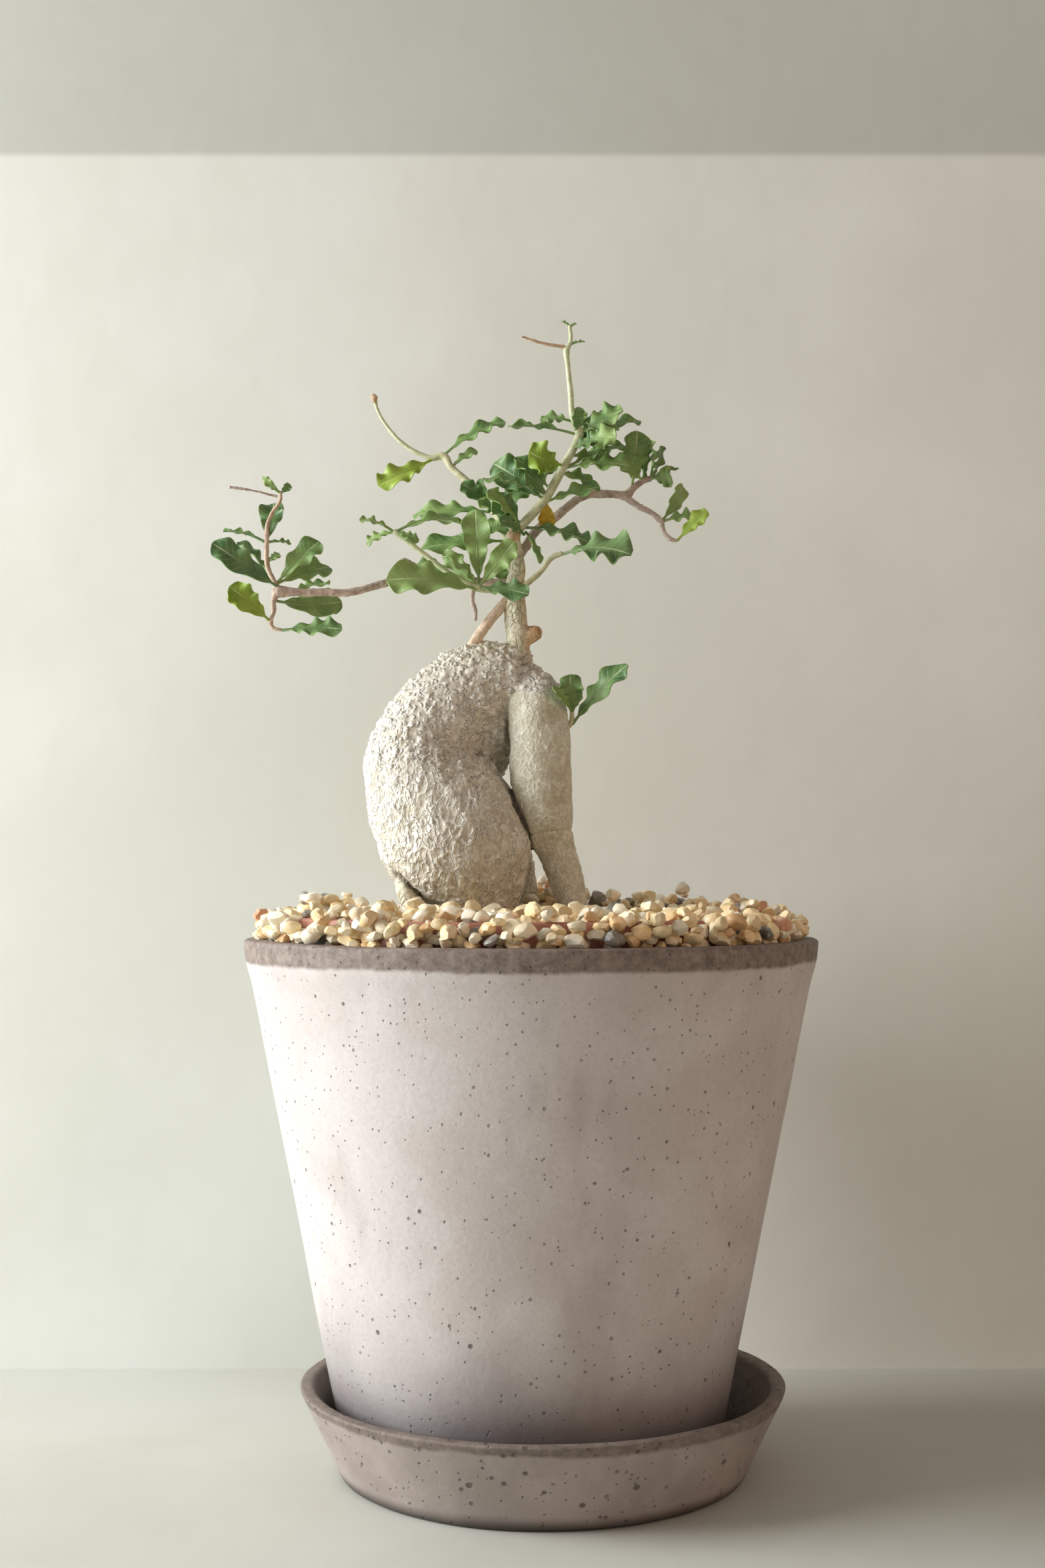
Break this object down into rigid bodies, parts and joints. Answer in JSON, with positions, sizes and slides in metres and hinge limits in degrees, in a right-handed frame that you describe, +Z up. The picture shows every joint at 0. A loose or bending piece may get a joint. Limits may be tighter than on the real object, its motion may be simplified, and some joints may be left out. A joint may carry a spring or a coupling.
{
  "type": "potted fockea",
  "caption": "Caudex plant with a swollen two-legged stem and wavy leaves, in a liner with gravel top dressing, set in a tapered unglazed clay pot on a matching saucer.",
  "frame": {"origin": "centre of the saucer's flat underside", "axes": "+Z up, +X to the right and +Y away from someone looking at the plant's front"},
  "size_m": [0.1673, 0.1598, 0.319],
  "materials": {
    "pot_clay": null,
    "liner_plastic": "terracotta-brown moulded nursery pot",
    "soil": "dark gritty potting mix",
    "gravel": "mixed cream, white, tan and grey 3 to 5 mm stone grit",
    "bark": "warty cream-brown caudex bark with wrinkles",
    "woody_stem": "thin pinkish-brown bark with pale lenticels",
    "green_stem": "smooth yellow-green young stem",
    "leaf": "satin mid-green living leaf with a pale midrib and paler underside",
    "young_leaf": "satin yellow-green young leaf",
    "spent_leaf": "dull yellow dying leaf"
  },
  "bodies": {
    "root": {"saucer": "pot_clay", "outer_pot": "pot_clay", "liner_pot": "liner_plastic", "soil": "soil", "gravel_bed": "gravel", "gravel_ring": "gravel", "caudex": "bark", "pink_stem": "woody_stem", "long_vine": "woody_stem", "upper_left_twig": "green_stem", "green_twig": "green_stem", "dead_twig": "woody_stem", "main_green_stem": "green_stem", "right_branch": "woody_stem", "big_leaf_stalk": "green_stem", "leg_sprout": "green_stem", "vine_leaf_1": "leaf", "vine_leaf_2": "leaf", "vine_leaf_3": "leaf", "vine_leaf_4": "leaf", "vine_leaf_5": "young_leaf", "vine_leaf_6": "leaf", "vine_leaf_7": "leaf", "vine_leaf_8": "leaf", "vine_leaf_9": "leaf", "vine_leaf_10": "leaf", "twig_leaf_1": "young_leaf", "twig_leaf_2": "leaf", "twig_leaf_3": "leaf", "twig_leaf_4": "leaf", "green_leaf_1": "leaf", "green_leaf_2": "leaf", "green_leaf_3": "leaf", "green_leaf_4": "leaf", "green_leaf_5": "leaf", "green_leaf_6": "leaf", "green_leaf_7": "leaf", "main_leaf_1": "leaf", "main_leaf_2": "leaf", "main_leaf_3": "leaf", "main_leaf_4": "young_leaf", "main_leaf_5": "leaf", "main_leaf_6": "leaf", "main_leaf_7": "leaf", "main_leaf_8": "leaf", "main_leaf_9": "leaf", "main_leaf_10": "leaf", "main_leaf_11": "leaf", "main_leaf_12": "leaf", "branch_leaf_1": "leaf", "branch_leaf_2": "leaf", "branch_leaf_3": "leaf", "branch_leaf_4": "young_leaf", "branch_leaf_5": "leaf", "branch_leaf_6": "leaf", "trunk_leaf_1": "leaf", "trunk_leaf_2": "leaf", "sprout_leaf_1": "leaf", "sprout_leaf_2": "leaf", "spent_leaf": "spent_leaf"}
  },
  "joints": []
}
